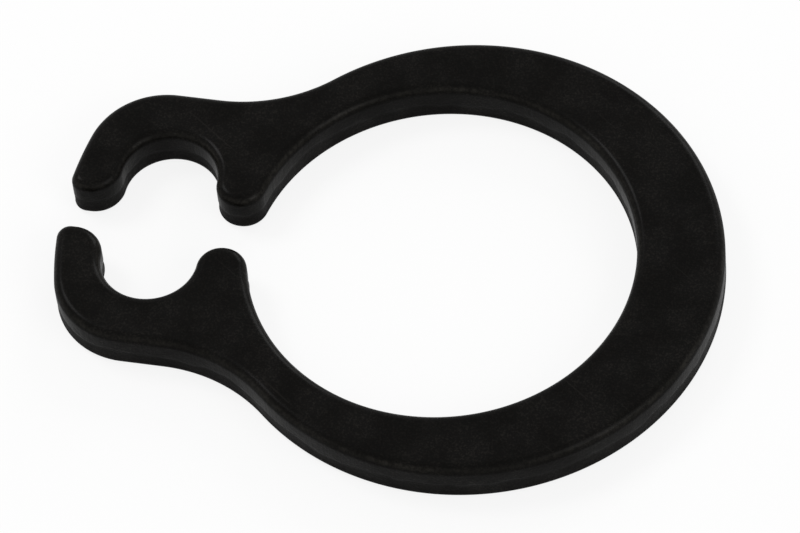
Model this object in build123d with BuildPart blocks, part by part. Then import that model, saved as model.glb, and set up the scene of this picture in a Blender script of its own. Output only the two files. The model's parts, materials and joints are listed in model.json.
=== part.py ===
from build123d import *
import os
from math import sqrt

# External retaining ring for a 6 mm shaft, in its free state: one stamping of
# spring steel, 0.7 mm thick. The band is widest opposite the opening and tapers
# towards two lugs. Each lug is a hook round a plier hole that is open towards
# the other lug, with a rounded nose between the plier hole and the bore. The
# punch entered from the upper face, so the upper edges are drawn down by the
# die roll and the lower edges are only rounded by tumbling.
#
# Frame: origin at the bore's centre on the lower face, +Z through the
# thickness, +X towards the widest part of the band, lugs towards -X.

# Driving dimensions in millimetres
thickness = 0.7
bore_diameter = 5.6
back_width = 1.27  # band opposite the lugs
front_width = 0.56  # what the band's taper would reach at the lugs
lug_span = 4.34  # across both lugs
hole_diameter = 1.4  # plier holes
hole_spacing = 1.42  # between the two plier holes' centres
nose_width = 0.65  # metal between the bore and a plier hole
hook_width = 0.73  # metal between a plier hole and the end of its lug
nose_opening = 0.75  # between the two noses
tip_opening = 0.64  # between the tips of the two hooks
neck_radius = 2.35  # where the band's outside runs into a lug
shoulder_radius = 1.15  # outer corner of a lug
tip_radius = 0.2  # outer corner of a hook's tip
mouth_radius = 0.44  # from a plier hole on to its hook's tip
nose_radius = 0.36  # both corners of a nose, which almost meet
die_roll_radius = 0.15  # upper edges
tumbled_radius = 0.1  # lower edges

# The most that one rounded corner may take of the metal that carries it
tip_share = 0.3
mouth_share = 0.65
nose_share = 0.56

# Derived sizes
bore_radius = bore_diameter / 2
band_radius = bore_radius + (back_width + front_width) / 2
band_offset = (back_width - front_width) / 2
hole_radius = hole_diameter / 2
hole_distance = bore_radius + nose_width + hole_radius
lug_radius = hole_distance + hole_radius + hook_width
lug_side = lug_span / 2
hole_side = hole_spacing / 2
nose_side = nose_opening / 2
tip_side = tip_opening / 2


def half_chord(radius, offset):
    """Half the width of a circle at an offset from its centre."""
    return sqrt(radius**2 - offset**2)


def corners(x, y):
    """The outline's two mirrored corners at (x, y) and (x, -y)."""
    found = outline.vertices()
    return [found.sort_by_distance((x, side * y, 0))[0] for side in (1, -1)]


with BuildPart() as retaining_ring:
    with BuildSketch() as outline:
        # Lugs: a strip that ends in an arc about the bore's centre
        Circle(lug_radius)
        Rectangle(lug_radius, lug_span, align=(Align.MAX, Align.CENTER), mode=Mode.INTERSECT)
        fillet(corners(-half_chord(lug_radius, lug_side), lug_side), shoulder_radius)
        # Band: eccentric to the bore, blended into the lugs
        with Locations((band_offset, 0)):
            Circle(band_radius)
        fillet(corners(band_offset - half_chord(band_radius, lug_side), lug_side), neck_radius)
        # Bore, plier holes and the opening between the lugs
        Circle(bore_radius, mode=Mode.SUBTRACT)
        with Locations((-hole_distance, hole_side), (-hole_distance, -hole_side)):
            Circle(hole_radius, mode=Mode.SUBTRACT)
        with Locations((-hole_distance, 0)):
            Rectangle(lug_radius, tip_opening, align=(Align.MAX, Align.CENTER), mode=Mode.SUBTRACT)
            Rectangle(hole_distance, nose_opening, align=(Align.MIN, Align.CENTER), mode=Mode.SUBTRACT)
        # Hooks' tips
        mouth = half_chord(hole_radius, hole_side - tip_side)
        fillet(corners(-half_chord(lug_radius, tip_side), tip_side), min(tip_radius, tip_share * hook_width))
        fillet(corners(-hole_distance - mouth, tip_side), min(mouth_radius, mouth_share * hook_width))
        # Noses
        flank = half_chord(hole_radius, hole_side - nose_side)
        nose_corner = min(nose_radius, nose_share * nose_width)
        fillet(corners(-hole_distance + flank, nose_side), nose_corner)
        fillet(corners(-half_chord(bore_radius, nose_side), nose_side), nose_corner)
    extrude(amount=thickness)
    upper_face = retaining_ring.faces().sort_by(Axis.Z)[-1]
    fillet(upper_face.edges(), die_roll_radius)
    lower_face = retaining_ring.faces().sort_by(Axis.Z)[0]
    fillet(lower_face.edges(), tumbled_radius)

retaining_ring.part.label = "retaining_ring"

os.makedirs("parts", exist_ok=True)
export_step(retaining_ring.part, "parts/retaining_ring.step")
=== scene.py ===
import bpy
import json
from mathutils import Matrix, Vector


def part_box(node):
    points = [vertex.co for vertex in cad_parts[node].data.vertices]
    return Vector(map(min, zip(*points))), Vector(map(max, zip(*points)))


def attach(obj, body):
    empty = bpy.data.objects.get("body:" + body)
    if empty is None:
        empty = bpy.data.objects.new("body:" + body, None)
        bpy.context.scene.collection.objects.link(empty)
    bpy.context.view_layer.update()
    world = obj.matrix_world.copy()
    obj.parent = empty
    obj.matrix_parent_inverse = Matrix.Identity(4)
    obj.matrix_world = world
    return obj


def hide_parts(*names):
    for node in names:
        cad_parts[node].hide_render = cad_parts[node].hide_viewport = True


bl_info = {
    "name": "External Retaining Ring",
    "version": (1, 0, 0),
    "blender": (4, 5, 0),
    "location": "View3D > Sidebar > Retaining Ring",
    "description": "Builds a phosphated external retaining ring with hooked lugs, and its studio stage",
    "category": "Add Mesh",
}

import json
import math
from typing import NamedTuple

import bmesh
import bpy
from mathutils import Matrix, Vector, noise

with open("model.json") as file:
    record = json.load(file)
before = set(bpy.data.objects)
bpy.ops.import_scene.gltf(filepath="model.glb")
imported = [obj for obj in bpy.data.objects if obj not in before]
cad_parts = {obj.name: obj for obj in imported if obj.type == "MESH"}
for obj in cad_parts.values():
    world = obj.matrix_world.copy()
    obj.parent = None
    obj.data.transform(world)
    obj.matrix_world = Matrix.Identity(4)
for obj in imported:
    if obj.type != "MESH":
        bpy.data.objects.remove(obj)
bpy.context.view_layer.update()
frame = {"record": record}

# The ring is one stamping. Half of its outline is drawn as arcs that touch, then mirrored,
# filled and given its thickness. The upper edges are drawn down by the die roll, and the
# lower ones are rounded by tumbling. The walls are sheared smooth above a wavering lip and
# torn below it.

# The mesh tools merge points about a micrometre apart, so the ring is modelled in
# millimetres and brought down to metres at the end.
MILLIMETRES = 1000.0
WELD = 0.001  # millimetres within which two places are the same

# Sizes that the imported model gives, in metres
mounts = {mount["name"]: mount for mount in frame["record"]["mounts"]}
ring_low, ring_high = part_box("retaining_ring")
hole_centre = Vector(mounts["plier_hole_left"]["pos_m"])
seat_radius = mounts["shaft_seat"]["dims"]["r_mm"] / MILLIMETRES

# Unevenness of the walls' lip and of the torn part below it
LIP_WAVES = 1.6  # in each millimetre
LIP_OCTAVES = 3
LIP_FALLOFF = 0.7  # the more, the fainter the finer waves
LIP_LACUNARITY = 2.0
TEAR_LUMPS = 5.0  # in each millimetre

# Patterns of the finish, in grains for each millimetre, or for each millimetre along X, Y
# and Z where they are drawn out
CLOUDS = 1.7
DENTS = 6.5
DRAG_LINES = (26.0, 26.0, 0.9)
TORN_GRAIN = (17.0, 17.0, 9.0)
EDGE_SPECKS = 14.0
EDGE_PATCHES = 1.3
STRIP_LINES = (0.7, 34.0, 1.0)
HAIR_SCRATCHES = (0.5, 21.0, 1.0)
HAIR_ANGLE = math.radians(37)

# Heights of the patterns' relief, where the crystals' is 1
DENT_RELIEF = 1.6
DRAG_RELIEF = 1.2
TORN_RELIEF = 3.6
STRIP_RELIEF = 0.8
SCRATCH_RELIEF = 0.5

# Part of the crystals' relief that comes from their cells, where the rest is noise
CELL_SHARE = 0.35

# A surface's flatness is 0 on the walls, 1 on the flat faces and in between on the rounded
# edges. These are the ranges in which the walls end, the edges' crests rise and fall, and
# the flat faces begin.
WALL_END = (0.05, 0.5)
CREST_RISE = (0.1, 0.65)
CREST_FALL = (0.75, 0.99)
FACE_START = (0.93, 0.995)

RISING = (0.0, 1.0)
FALLING = (1.0, 0.0)


def mm(metres):
    """A size in millimetres."""
    return metres * MILLIMETRES


# Settings

def length(name, description, default):
    """A size in metres that a user may change."""
    return bpy.props.FloatProperty(
        name=name, description=description, default=default, min=0.0, precision=5, unit="LENGTH"
    )


def angle(name, description, degrees):
    """An angle that a user may change."""
    return bpy.props.FloatProperty(
        name=name, description=description, default=math.radians(degrees), subtype="ANGLE"
    )


def share(name, description, default):
    """A number from 0 to 1 that a user may change."""
    return bpy.props.FloatProperty(
        name=name, description=description, default=default, min=0.0, max=1.0, subtype="FACTOR"
    )


def amount(name, description, default):
    """A plain number that a user may change."""
    return bpy.props.FloatProperty(
        name=name, description=description, default=default, min=0.0, precision=3
    )


def count(name, description, default):
    """A whole number that a user may change."""
    return bpy.props.IntProperty(name=name, description=description, default=default, min=2)


def colour(name, description, default):
    """A colour that a user may change."""
    return bpy.props.FloatVectorProperty(
        name=name, description=description, default=default, size=3, min=0.0, max=1.0,
        subtype="COLOR",
    )


class RingSizes(bpy.types.PropertyGroup):
    """Sizes of the ring's outline, edges and walls"""

    thickness: length("Thickness", "Thickness of the strip", ring_high.z - ring_low.z)
    bore_radius: length("Bore Radius", "Radius of the free bore", seat_radius)
    back_width: length("Back Width", "Width of the band opposite the lugs", 0.00127)
    front_width: length("Front Width", "Width that the band's taper would reach at the lugs", 0.00056)
    lug_span: length("Lug Span", "Width across both lugs", 0.00434)
    hole_distance: length("Hole Distance", "Bore's centre to a plier hole's, along X", -hole_centre.x)
    hole_side: length("Hole Side", "Bore's centre to a plier hole's, along Y", hole_centre.y)
    hole_radius: length("Hole Radius", "Radius of the plier holes", 0.0007)
    hook_width: length("Hook Width", "Metal between a plier hole and the end of its lug", 0.00073)
    nose_opening: length("Nose Opening", "Opening between the two noses", 0.00075)
    tip_opening: length("Tip Opening", "Opening between the tips of the hooks", 0.00064)
    neck_radius: length("Neck Radius", "Where the band's outside runs into a lug", 0.00235)
    shoulder_radius: length("Shoulder Radius", "Outer corner of a lug", 0.00115)
    tip_radius: length("Tip Radius", "Outer corner of a hook's tip", 0.0002)
    mouth_radius: length("Mouth Radius", "From a plier hole on to its hook's tip", 0.00044)
    nose_radius: length("Nose Radius", "Both corners of a nose", 0.00036)
    die_roll_radius: length("Die Roll", "Rounding of the upper edges", 0.00015)
    tumbled_radius: length("Tumbled Edge", "Rounding of the lower edges", 0.0001)
    burnish_share: share("Burnish Share", "Part of the thickness that lies above the lip", 0.55)
    lip_height: length("Lip Height", "Height of the lip under the sheared part of a wall", 0.000024)
    lip_waver: length("Lip Waver", "How far the lip wanders up and down", 0.00007)
    tear_depth: length("Tear Depth", "How far the torn part lies behind the sheared part", 0.000006)
    tear_relief: length("Tear Relief", "Unevenness of the torn part", 0.000005)
    step_length: length("Step", "Longest step along an arc of the outline", 0.00006)
    step_angle: angle("Step Angle", "Largest turn of one step along an arc", 4.0)
    edge_segments: count("Edge Segments", "Facets across a rounded edge", 8)
    tear_rows: count("Tear Rows", "Rows of faces down the torn part of a wall", 5)


class FinishSettings(bpy.types.PropertyGroup):
    """Colours and grain of the phosphated and oiled steel"""

    phosphate: colour("Phosphate", "Colour of the phosphate layer", (0.0022, 0.0020, 0.0017))
    crystals: colour("Crystals", "Colour of its lighter crystals", (0.0098, 0.0088, 0.0075))
    rubbed_steel: colour("Rubbed Steel", "Colour where the edges are rubbed thin", (0.030, 0.028, 0.024))
    roughness: share("Roughness", "Middle roughness of the flat faces", 0.45)
    roughness_spread: share("Roughness Spread", "How far that roughness varies each way", 0.06)
    burnish_roughness: share("Burnish Roughness", "Roughness of the sheared part of the walls", 0.36)
    fracture_roughness: share("Fracture Roughness", "Roughness of the torn part of the walls", 0.62)
    specular: share("Specular", "How much light the layer reflects", 0.02)
    oil: share("Oil", "Weight of the oil film where it is thickest", 0.075)
    oil_roughness: share("Oil Roughness", "Roughness of the oil film", 0.22)
    wear: share("Wear", "How far the edges are rubbed", 0.5)
    bare_metal: share("Bare Metal", "How much bare metal shows on a rubbed edge", 0.8)
    scratches: share("Scratches", "How far the hair scratches lighten the flat faces", 0.6)
    crystal_size: length("Crystal Size", "Size of a phosphate crystal", 0.00003)
    relief: length("Relief", "Height of the surface's relief", 0.0000035)


class StageSettings(bpy.types.PropertyGroup):
    """Floor, lamps and camera"""

    floor_size: length("Floor Size", "Width of the floor", 3.0)
    floor_drop: length("Floor Drop", "Gap under the ring, which keeps the two faces apart", 0.000004)
    floor_colour: colour("Floor Colour", "Colour of the floor", (0.97, 0.97, 0.97))
    floor_glow: share("Floor Glow", "Part of the floor's white that takes no shadow", 0.85)
    ambient: amount("Ambient", "Strength of the world's light", 0.5)
    key_level: amount("Key Level", "Radiance of the key lamp", 8.0)
    fill_level: amount("Fill Level", "Radiance of the fill lamp", 2.5)
    rim_level: amount("Rim Level", "Radiance of the rim lamp", 5.0)
    lamp_distance: length("Lamp Distance", "From each lamp to the bore's centre", 0.09)
    azimuth: angle("Azimuth", "Camera's direction round the ring", 15.95)
    elevation: angle("Elevation", "Camera's height above the horizon", 55.81)
    roll: angle("Roll", "Camera's turn about its line of sight", -6.35)
    distance: length("Distance", "From the camera to its target", 0.0895)
    focal_length: bpy.props.FloatProperty(
        name="Focal Length", description="Camera's focal length", default=279.2, unit="CAMERA"
    )
    target: bpy.props.FloatVectorProperty(
        name="Target", description="Point that the camera looks at",
        default=(-0.000654, 0.0000612, 0.0), size=3, precision=5, subtype="TRANSLATION",
    )


# Outline and solid of the ring

class Arc(NamedTuple):
    """An arc of the outline. Where it has a line, a straight run at that y follows it."""

    centre: Vector
    radius: float
    bulges: bool
    line: float | None = None


def half_chord(radius, offset):
    """Half the width of a circle at an offset from its centre."""
    return math.sqrt(radius**2 - offset**2)


def outline_arcs(ring):
    """The arcs of the outline's +Y half in millimetres, from the band round the lug to the bore."""
    bore = mm(ring.bore_radius)
    band = bore + mm(ring.back_width + ring.front_width) / 2
    band_x = mm(ring.back_width - ring.front_width) / 2
    hole = mm(ring.hole_radius)
    hole_x = -mm(ring.hole_distance)
    hole_y = mm(ring.hole_side)
    lug = mm(ring.hole_distance + ring.hole_radius + ring.hook_width)
    side = mm(ring.lug_span) / 2
    tip_line = mm(ring.tip_opening) / 2
    nose_line = mm(ring.nose_opening) / 2
    neck = mm(ring.neck_radius)
    shoulder = mm(ring.shoulder_radius)
    tip = mm(ring.tip_radius)
    mouth = mm(ring.mouth_radius)
    nose = mm(ring.nose_radius)
    neck_x = band_x - half_chord(band + neck, side + neck)
    shoulder_x = -half_chord(lug - shoulder, side - shoulder)
    tip_x = -half_chord(lug - tip, tip_line + tip)
    mouth_x = hole_x - half_chord(hole + mouth, hole_y - tip_line - mouth)
    flank_x = hole_x + half_chord(hole + nose, hole_y - nose_line - nose)
    nose_x = -half_chord(bore + nose, nose_line + nose)
    return [
        Arc(Vector((band_x, 0, 0)), band, True),
        Arc(Vector((neck_x, side + neck, 0)), neck, False, side),
        Arc(Vector((shoulder_x, side - shoulder, 0)), shoulder, True),
        Arc(Vector((0, 0, 0)), lug, True),
        Arc(Vector((tip_x, tip_line + tip, 0)), tip, True, tip_line),
        Arc(Vector((mouth_x, tip_line + mouth, 0)), mouth, True),
        Arc(Vector((hole_x, hole_y, 0)), hole, False),
        Arc(Vector((flank_x, nose_line + nose, 0)), nose, True, nose_line),
        Arc(Vector((nose_x, nose_line + nose, 0)), nose, True),
        Arc(Vector((0, 0, 0)), bore, False),
    ]


def contact(arc, following):
    """Where an arc touches the one that follows it."""
    towards = (following.centre - arc.centre).normalized()
    # A smaller arc inside the next one touches it on the side away from the next one's centre
    inside = arc.bulges == following.bulges and arc.radius < following.radius
    return arc.centre - towards * arc.radius if inside else arc.centre + towards * arc.radius


def spin_along(bm, vert, arc, end, ring):
    """Extends the outline from vert along an arc to a point on it, and returns its new end."""
    start_angle = math.atan2(vert.co.y - arc.centre.y, vert.co.x - arc.centre.x)
    end_angle = math.atan2(end.y - arc.centre.y, end.x - arc.centre.x)
    if arc.bulges:
        turn = (end_angle - start_angle) % math.tau
    else:
        turn = -((start_angle - end_angle) % math.tau)
    step = min(ring.step_angle, mm(ring.step_length) / arc.radius)
    made = bmesh.ops.spin(
        bm, geom=[vert], cent=arc.centre, axis=(0, 0, 1), angle=turn, steps=math.ceil(abs(turn) / step)
    )
    return next(part for part in made["geom_last"] if isinstance(part, bmesh.types.BMVert))


def draw_half_outline(bm, ring):
    """Draws the half of the outline on the +Y side as a chain of edges."""
    arcs = outline_arcs(ring)
    band, bore = arcs[0], arcs[-1]
    vert = bm.verts.new(band.centre + Vector((band.radius, 0, 0)))
    for arc, following in zip(arcs, arcs[1:]):
        if arc.line is None:
            vert = spin_along(bm, vert, arc, contact(arc, following), ring)
            continue
        vert = spin_along(bm, vert, arc, Vector((arc.centre.x, arc.line, 0)), ring)
        vert = bmesh.ops.extrude_vert_indiv(bm, verts=[vert])["verts"][0]
        bmesh.ops.translate(bm, verts=[vert], vec=(following.centre.x - arc.centre.x, 0, 0))
    spin_along(bm, vert, bore, Vector((bore.radius, 0, 0)), ring)


def round_edges(bm, height, radius, segments):
    """Rounds the edges of the flat face at that height."""
    rim = [edge for edge in bm.edges if all(abs(vert.co.z - height) < WELD for vert in edge.verts)]
    bmesh.ops.bevel(
        bm, geom=rim, offset=radius, offset_type="OFFSET", segments=segments, profile=0.5,
        affect="EDGES", clamp_overlap=False, material=-1,
    )


def tear_walls(bm, ring):
    """Leaves the upper part of the walls sheared, and tears the part below a wavering lip."""
    sheared = bm.verts.layers.float.new("sheared")
    bottom = mm(ring.tumbled_radius)
    lip_line = mm(ring.thickness) * (1 - ring.burnish_share)
    lip = mm(ring.lip_height)
    # One row above the lip keeps its step out of the sheared part's shading
    support = lip_line + lip
    torn_height = lip_line - lip / 2 - bottom
    torn_rows = [bottom + torn_height * row / ring.tear_rows for row in range(1, ring.tear_rows + 1)]
    for level in [support, lip_line + lip / 2, *torn_rows]:
        whole = bm.verts[:] + bm.edges[:] + bm.faces[:]
        bmesh.ops.bisect_plane(bm, geom=whole, plane_co=(0, 0, level), plane_no=(0, 0, 1))
    bm.normal_update()
    for vert in bm.verts:
        level = vert.co.z
        vert[sheared] = float(level > lip_line)
        if not bottom + WELD < level < support + WELD:
            continue
        foot = Vector((vert.co.x, vert.co.y, 0)) * LIP_WAVES
        waver = noise.fractal(foot, LIP_FALLOFF, LIP_LACUNARITY, LIP_OCTAVES)
        depth = mm(ring.tear_depth) + mm(ring.tear_relief) * noise.noise(vert.co * TEAR_LUMPS)
        vert.co.z += mm(ring.lip_waver) * waver * min(1.0, (level - bottom) / torn_height)
        if level < lip_line:
            vert.co -= vert.normal * depth


def finished_mesh(bm, name):
    """Writes a bmesh to a new mesh and frees it."""
    mesh = bpy.data.meshes.new(name)
    bm.to_mesh(mesh)
    bm.free()
    return mesh


def ring_mesh(ring):
    """The whole ring, stamped from its outline, in metres."""
    thickness = mm(ring.thickness)
    bm = bmesh.new()
    draw_half_outline(bm, ring)
    bmesh.ops.mirror(bm, geom=bm.verts[:] + bm.edges[:], axis="Y", merge_dist=WELD)
    blank = bmesh.ops.edgeloop_fill(bm, edges=bm.edges[:])["faces"]
    made = bmesh.ops.extrude_face_region(bm, geom=blank)
    upper = [part for part in made["geom"] if isinstance(part, bmesh.types.BMVert)]
    bmesh.ops.translate(bm, verts=upper, vec=(0, 0, thickness))
    round_edges(bm, thickness, mm(ring.die_roll_radius), ring.edge_segments)
    round_edges(bm, 0, mm(ring.tumbled_radius), ring.edge_segments)
    bmesh.ops.recalc_face_normals(bm, faces=bm.faces[:])
    tear_walls(bm, ring)
    if not all(edge.is_manifold for edge in bm.edges):
        raise RuntimeError("the ring's outline didn't close")
    for face in bm.faces:
        face.smooth = True
    bmesh.ops.scale(bm, vec=Vector((1, 1, 1)) / MILLIMETRES, verts=bm.verts[:])
    return finished_mesh(bm, "retaining_ring_stamping")


# Node helpers

def add_node(tree, kind, inputs=None, **settings):
    """Adds a node, sets it up, and sets or links its inputs."""
    made = tree.nodes.new(kind)
    for name, value in settings.items():
        setattr(made, name, value)
    for name, value in (inputs or {}).items():
        if isinstance(value, bpy.types.NodeSocket):
            tree.links.new(value, made.inputs[name])
        else:
            made.inputs[name].default_value = value
    return made


def math_node(tree, operation, *values):
    """The result of a sum on numbers or sockets."""
    return add_node(tree, "ShaderNodeMath", dict(enumerate(values)), operation=operation).outputs[0]


def ramp(tree, value, given, wanted=RISING):
    """Value brought smoothly from the given range to the wanted one."""
    limits = dict(zip(("From Min", "From Max", "To Min", "To Max"), (*given, *wanted)))
    made = add_node(
        tree, "ShaderNodeMapRange", {"Value": value} | limits, interpolation_type="SMOOTHSTEP"
    )
    return made.outputs["Result"]


def mix_number(tree, factor, first, second):
    """Two numbers, mixed by a factor."""
    return add_node(tree, "ShaderNodeMix", {0: factor, 2: first, 3: second}, data_type="FLOAT").outputs[0]


def mix_colour(tree, factor, first, second):
    """Two colours, mixed by a factor."""
    return add_node(tree, "ShaderNodeMix", {0: factor, 6: first, 7: second}, data_type="RGBA").outputs[2]


def mapped(tree, position, **changes):
    """A position with its Scale or Rotation changed."""
    return add_node(tree, "ShaderNodeMapping", {"Vector": position} | changes).outputs["Vector"]


def noise_texture(tree, position, scale, detail, roughness):
    """Noise with a scale in grains for each millimetre."""
    inputs = {"Vector": position, "Scale": scale, "Detail": detail, "Roughness": roughness}
    return add_node(tree, "ShaderNodeTexNoise", inputs).outputs["Fac"]


def stretched_noise(tree, position, scales, detail, roughness):
    """Noise with its own scale along each axis, in grains for each millimetre."""
    return noise_texture(tree, mapped(tree, position, Scale=scales), 1.0, detail, roughness)


def place_group(tree, group, inputs):
    """Places a node group and returns its outputs."""
    return add_node(tree, "ShaderNodeGroup", inputs, node_tree=group).outputs


def effect_group(name, inputs, outputs):
    """An empty shader node group, its input node and its output node.

    The inputs are (name, kind, default) and the outputs are names of numbers.
    """
    tree = bpy.data.node_groups.new(name, "ShaderNodeTree")
    for socket, kind, default in inputs:
        made = tree.interface.new_socket(socket, in_out="INPUT", socket_type=kind)
        if default is not None:
            made.default_value = default
    for socket in outputs:
        tree.interface.new_socket(socket, in_out="OUTPUT", socket_type="NodeSocketFloat")
    return tree, tree.nodes.new("NodeGroupInput"), tree.nodes.new("NodeGroupOutput")


# Finish

def crystal_grain():
    """Node group: the phosphate's fine crystals over the softer unevenness of the tumbled steel."""
    tree, given, result = effect_group(
        "Crystal Grain",
        [("Position", "NodeSocketVector", None), ("Grains", "NodeSocketFloat", 33.0)],
        ["Height", "Crystals", "Clouds"],
    )
    position, grains = given.outputs["Position"], given.outputs["Grains"]
    cells = add_node(
        tree, "ShaderNodeTexVoronoi", {"Vector": position, "Scale": grains}, feature="SMOOTH_F1"
    )
    fine = noise_texture(tree, position, grains, detail=3.0, roughness=0.62)
    clouds = noise_texture(tree, position, CLOUDS, detail=4.0, roughness=0.55)
    dents = noise_texture(tree, position, DENTS, detail=2.0, roughness=0.5)
    crystal = math_node(tree, "SUBTRACT", 1.0, cells.outputs["Distance"])
    grain = mix_number(tree, CELL_SHARE, fine, crystal)
    tree.links.new(math_node(tree, "MULTIPLY_ADD", dents, DENT_RELIEF, grain), result.inputs["Height"])
    tree.links.new(ramp(tree, fine, (0.46, 0.7)), result.inputs["Crystals"])
    tree.links.new(ramp(tree, clouds, (0.35, 0.68)), result.inputs["Clouds"])
    return tree


def punched_wall():
    """Node group: the wall's sheared part with its drag lines, and its torn part."""
    tree, given, result = effect_group(
        "Punched Wall",
        [
            ("Position", "NodeSocketVector", None),
            ("Flatness", "NodeSocketFloat", 0.0),
            ("Sheared", "NodeSocketFloat", 1.0),
        ],
        ["Height", "Burnish", "Fracture"],
    )
    position, sheared = given.outputs["Position"], given.outputs["Sheared"]
    wall = ramp(tree, given.outputs["Flatness"], WALL_END, FALLING)
    torn = math_node(tree, "SUBTRACT", 1.0, sheared)
    drag = stretched_noise(tree, position, DRAG_LINES, detail=2.0, roughness=0.55)
    tears = stretched_noise(tree, position, TORN_GRAIN, detail=4.0, roughness=0.68)
    torn_height = math_node(tree, "MULTIPLY", tears, TORN_RELIEF)
    sheared_height = math_node(tree, "MULTIPLY", drag, DRAG_RELIEF)
    height = mix_number(tree, sheared, torn_height, sheared_height)
    tree.links.new(math_node(tree, "MULTIPLY", height, wall), result.inputs["Height"])
    tree.links.new(math_node(tree, "MULTIPLY", sheared, wall), result.inputs["Burnish"])
    tree.links.new(math_node(tree, "MULTIPLY", torn, wall), result.inputs["Fracture"])
    return tree


def rubbed_edge():
    """Node group: the rounded edges' crests, rubbed thin by tumbling and handling."""
    tree, given, result = effect_group(
        "Rubbed Edge",
        [
            ("Position", "NodeSocketVector", None),
            ("Flatness", "NodeSocketFloat", 0.0),
            ("Wear", "NodeSocketFloat", 0.5),
        ],
        ["Rubbed"],
    )
    position, flatness = given.outputs["Position"], given.outputs["Flatness"]
    rise = ramp(tree, flatness, CREST_RISE)
    fall = ramp(tree, flatness, CREST_FALL, FALLING)
    crest = math_node(tree, "MULTIPLY", rise, fall)
    speck_noise = noise_texture(tree, position, EDGE_SPECKS, detail=4.0, roughness=0.7)
    patch_noise = noise_texture(tree, position, EDGE_PATCHES, detail=2.0, roughness=0.5)
    specks = ramp(tree, speck_noise, (0.36, 0.64), (0.25, 1.0))
    patches = ramp(tree, patch_noise, (0.3, 0.7), (0.35, 1.0))
    uneven = math_node(tree, "MULTIPLY", specks, patches)
    worn = math_node(tree, "MULTIPLY", uneven, given.outputs["Wear"])
    tree.links.new(math_node(tree, "MULTIPLY", crest, worn), result.inputs["Rubbed"])
    return tree


def strip_marks():
    """Node group: faint lines of the rolled strip on the flat faces, and a few hair scratches."""
    tree, given, result = effect_group(
        "Strip Marks",
        [("Position", "NodeSocketVector", None), ("Flatness", "NodeSocketFloat", 1.0)],
        ["Height", "Scratches"],
    )
    position = given.outputs["Position"]
    turned = mapped(tree, position, Rotation=(0.0, 0.0, HAIR_ANGLE))
    lines = stretched_noise(tree, position, STRIP_LINES, detail=2.0, roughness=0.5)
    hair_noise = stretched_noise(tree, turned, HAIR_SCRATCHES, detail=1.0, roughness=0.4)
    hairs = ramp(tree, hair_noise, (0.72, 0.8))
    flat = ramp(tree, given.outputs["Flatness"], FACE_START)
    raised = math_node(tree, "MULTIPLY", lines, STRIP_RELIEF)
    sunk = math_node(tree, "MULTIPLY", hairs, SCRATCH_RELIEF)
    height = math_node(tree, "SUBTRACT", raised, sunk)
    tree.links.new(math_node(tree, "MULTIPLY", height, flat), result.inputs["Height"])
    tree.links.new(math_node(tree, "MULTIPLY", hairs, flat), result.inputs["Scratches"])
    return tree


def rgba(value):
    """A colour with full alpha, as sockets want it."""
    return (*value, 1.0)


def phosphated_steel(finish, ring):
    """Material: near-black phosphated and oiled spring steel."""
    material = bpy.data.materials.new("phosphated_spring_steel")
    material.use_nodes = True
    tree = material.node_tree
    tree.nodes.clear()
    coordinates = tree.nodes.new("ShaderNodeTexCoord").outputs["Object"]
    position = mapped(tree, coordinates, Scale=(MILLIMETRES,) * 3)

    # Masks over the surface
    level = add_node(tree, "ShaderNodeSeparateXYZ", {"Vector": position}).outputs["Z"]
    upper = ramp(tree, level, (mm(ring.thickness - ring.die_roll_radius), mm(ring.thickness)))
    lower = ramp(tree, level, (0.0, mm(ring.tumbled_radius)), FALLING)
    surface = {"Position": position, "Flatness": math_node(tree, "MAXIMUM", upper, lower)}
    sheared = add_node(tree, "ShaderNodeAttribute", attribute_name="sheared").outputs["Fac"]
    grains = 1.0 / mm(finish.crystal_size)
    grain = place_group(tree, crystal_grain(), {"Position": position, "Grains": grains})
    wall = place_group(tree, punched_wall(), surface | {"Sheared": sheared})
    rubbed = place_group(tree, rubbed_edge(), surface | {"Wear": finish.wear})["Rubbed"]
    marks = place_group(tree, strip_marks(), surface)
    clouds = grain["Clouds"]

    # Colour
    bright = ramp(tree, clouds, (0.0, 1.0), (0.45, 1.0))
    light_crystals = math_node(tree, "MULTIPLY", grain["Crystals"], bright)
    scratched = math_node(tree, "MULTIPLY", marks["Scratches"], finish.scratches)
    base = mix_colour(tree, light_crystals, rgba(finish.phosphate), rgba(finish.crystals))
    base = mix_colour(tree, scratched, base, rgba(finish.crystals))
    base = mix_colour(tree, rubbed, base, rgba(finish.rubbed_steel))

    # Roughness
    smoothest = finish.roughness - finish.roughness_spread
    roughest = finish.roughness + finish.roughness_spread
    rough = mix_number(tree, clouds, smoothest, roughest)
    rough = mix_number(tree, wall["Burnish"], rough, finish.burnish_roughness)
    rough = mix_number(tree, wall["Fracture"], rough, finish.fracture_roughness)
    rough = mix_number(tree, rubbed, rough, finish.burnish_roughness)

    # Relief
    pattern = math_node(tree, "ADD", wall["Height"], marks["Height"])
    height = math_node(tree, "ADD", grain["Height"], pattern)
    bump = add_node(
        tree, "ShaderNodeBump", {"Height": height, "Distance": finish.relief, "Strength": 1.0}
    )

    shader = add_node(
        tree, "ShaderNodeBsdfPrincipled",
        {
            "Base Color": base,
            "Roughness": rough,
            "Metallic": math_node(tree, "MULTIPLY", rubbed, finish.bare_metal),
            "Specular IOR Level": finish.specular,
            "Coat Weight": mix_number(tree, clouds, finish.oil / 2, finish.oil),
            "Coat Roughness": finish.oil_roughness,
            "Normal": bump.outputs["Normal"],
        },
    )
    output = tree.nodes.new("ShaderNodeOutputMaterial")
    tree.links.new(shader.outputs["BSDF"], output.inputs["Surface"])
    return material


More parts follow.
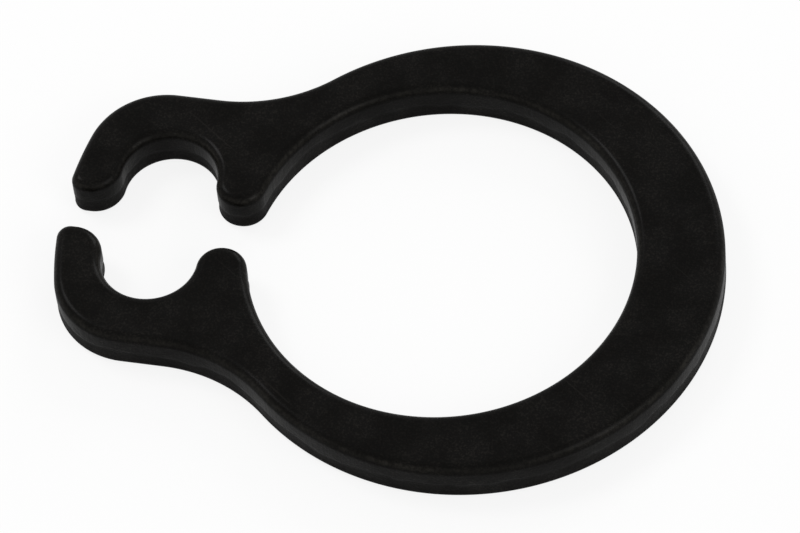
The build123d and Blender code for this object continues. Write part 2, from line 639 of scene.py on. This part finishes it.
class RETAINING_RING_OT_ring(bpy.types.Operator):
    """Build the ring from its outline and give it its finish"""

    bl_idname = "retaining_ring.ring"
    bl_label = "Retaining Ring"
    bl_options = {"REGISTER", "UNDO"}

    def execute(self, context):
        ring = context.scene.retaining_ring_sizes
        piece = bpy.data.objects.new("retaining_ring_stamping", ring_mesh(ring))
        context.scene.collection.objects.link(piece)
        piece.data.materials.append(phosphated_steel(context.scene.retaining_ring_finish, ring))
        piece.modifiers.new("face_weighted_normals", "WEIGHTED_NORMAL")
        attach(piece, "root")
        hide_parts("retaining_ring")
        return {"FINISHED"}


# Stage

def backdrop_rays(tree):
    """1 where a camera, glossy or transmission ray looks at the backdrop."""
    path = tree.nodes.new("ShaderNodeLightPath")
    seen = math_node(tree, "MAXIMUM", path.outputs["Is Camera Ray"], path.outputs["Is Glossy Ray"])
    return math_node(tree, "MAXIMUM", seen, path.outputs["Is Transmission Ray"])


def floor_mesh(stage):
    """The floor, just under the ring."""
    bm = bmesh.new()
    bmesh.ops.create_grid(bm, x_segments=1, y_segments=1, size=stage.floor_size / 2)
    bmesh.ops.translate(bm, verts=bm.verts[:], vec=(0, 0, -stage.floor_drop))
    return finished_mesh(bm, "floor")


def floor_material(stage):
    """Material: a white floor that keeps a light shadow, and that is clear from below."""
    material = bpy.data.materials.new("white_floor")
    material.use_nodes = True
    tree = material.node_tree
    tree.nodes.clear()
    paper = add_node(tree, "ShaderNodeBsdfDiffuse", {"Color": rgba(stage.floor_colour)}).outputs["BSDF"]
    glow = add_node(tree, "ShaderNodeEmission", {"Strength": 1.0}).outputs["Emission"]
    seen = math_node(tree, "MULTIPLY", backdrop_rays(tree), stage.floor_glow)
    lit = add_node(tree, "ShaderNodeMixShader", {0: seen, 1: paper, 2: glow}).outputs["Shader"]
    below = tree.nodes.new("ShaderNodeNewGeometry").outputs["Backfacing"]
    clear = tree.nodes.new("ShaderNodeBsdfTransparent").outputs["BSDF"]
    surface = add_node(tree, "ShaderNodeMixShader", {0: below, 1: lit, 2: clear}).outputs["Shader"]
    output = tree.nodes.new("ShaderNodeOutputMaterial")
    tree.links.new(surface, output.inputs["Surface"])
    return material


def white_world(stage):
    """World: white to the camera and in reflections, and softer as a light."""
    world = bpy.data.worlds.new("white_world")
    world.use_nodes = True
    tree = world.node_tree
    tree.nodes.clear()
    strength = mix_number(tree, backdrop_rays(tree), stage.ambient, 1.0)
    background = add_node(tree, "ShaderNodeBackground", {"Color": (1, 1, 1, 1), "Strength": strength})
    output = tree.nodes.new("ShaderNodeOutputWorld")
    tree.links.new(background.outputs["Background"], output.inputs["Surface"])
    return world


def facing(azimuth, elevation, distance, target=(0, 0, 0), roll=0.0):
    """The place of a camera or lamp that faces the target from that direction and height."""
    return (
        Matrix.Translation(target)
        @ Matrix.Rotation(azimuth, 4, "Z")
        @ Matrix.Rotation(math.pi / 2 - elevation, 4, "X")
        @ Matrix.Rotation(roll, 4, "Z")
        @ Matrix.Translation((0, 0, distance))
    )


def add_lamp(stage, name, level, width, azimuth, elevation):
    """A square soft lamp that faces the ring, with its radiance given as a level where 1 is white."""
    lamp = bpy.data.lights.new(name, "AREA")
    lamp.size = width
    lamp.energy = level * math.pi * width**2
    holder = bpy.data.objects.new(name, lamp)
    holder.matrix_world = facing(math.radians(azimuth), math.radians(elevation), stage.lamp_distance)
    holder.visible_camera = False
    bpy.context.scene.collection.objects.link(holder)


def add_camera(stage):
    """The camera at the photograph's viewing angle."""
    lens = bpy.data.cameras.new("camera")
    lens.lens = stage.focal_length
    lens.clip_start = stage.distance / 100
    lens.clip_end = stage.floor_size * 2
    camera = bpy.data.objects.new("camera", lens)
    camera.matrix_world = facing(
        stage.azimuth, stage.elevation, stage.distance, target=stage.target, roll=stage.roll
    )
    bpy.context.scene.collection.objects.link(camera)
    bpy.context.scene.camera = camera


class RETAINING_RING_OT_stage(bpy.types.Operator):
    """Build the white floor, the soft lamps and the camera"""

    bl_idname = "retaining_ring.stage"
    bl_label = "Studio Stage"
    bl_options = {"REGISTER", "UNDO"}

    def execute(self, context):
        stage = context.scene.retaining_ring_stage
        floor = bpy.data.objects.new("floor", floor_mesh(stage))
        context.scene.collection.objects.link(floor)
        floor.data.materials.append(floor_material(stage))
        context.scene.world = white_world(stage)
        add_lamp(stage, "key_lamp", stage.key_level, width=0.03, azimuth=250, elevation=50)
        add_lamp(stage, "fill_lamp", stage.fill_level, width=0.05, azimuth=60, elevation=35)
        add_lamp(stage, "rim_lamp", stage.rim_level, width=0.04, azimuth=165, elevation=25)
        add_camera(stage)
        context.scene.view_settings.view_transform = "Standard"
        return {"FINISHED"}


# Add-on

class RETAINING_RING_PT_panel(bpy.types.Panel):
    """Lists the settings and the operators of the ring and its stage"""

    bl_idname = "RETAINING_RING_PT_panel"
    bl_label = "Retaining Ring"
    bl_space_type = "VIEW_3D"
    bl_region_type = "UI"
    bl_category = "Retaining Ring"

    def draw(self, context):
        for settings, operator in (
            ("retaining_ring_sizes", RETAINING_RING_OT_ring),
            ("retaining_ring_finish", None),
            ("retaining_ring_stage", RETAINING_RING_OT_stage),
        ):
            box = self.layout.box()
            group = getattr(context.scene, settings)
            for name in group.__annotations__:
                box.prop(group, name)
            if operator:
                box.operator(operator.bl_idname)


CLASSES = (
    RingSizes,
    FinishSettings,
    StageSettings,
    RETAINING_RING_OT_ring,
    RETAINING_RING_OT_stage,
    RETAINING_RING_PT_panel,
)


def register():
    for cls in CLASSES:
        bpy.utils.register_class(cls)
    bpy.types.Scene.retaining_ring_sizes = bpy.props.PointerProperty(type=RingSizes)
    bpy.types.Scene.retaining_ring_finish = bpy.props.PointerProperty(type=FinishSettings)
    bpy.types.Scene.retaining_ring_stage = bpy.props.PointerProperty(type=StageSettings)


def unregister():
    del bpy.types.Scene.retaining_ring_stage
    del bpy.types.Scene.retaining_ring_finish
    del bpy.types.Scene.retaining_ring_sizes
    for cls in reversed(CLASSES):
        bpy.utils.unregister_class(cls)


def main():
    """Builds the ring and its stage."""
    register()
    bpy.ops.retaining_ring.ring()
    bpy.ops.retaining_ring.stage()


if __name__ == "__main__":
    main()
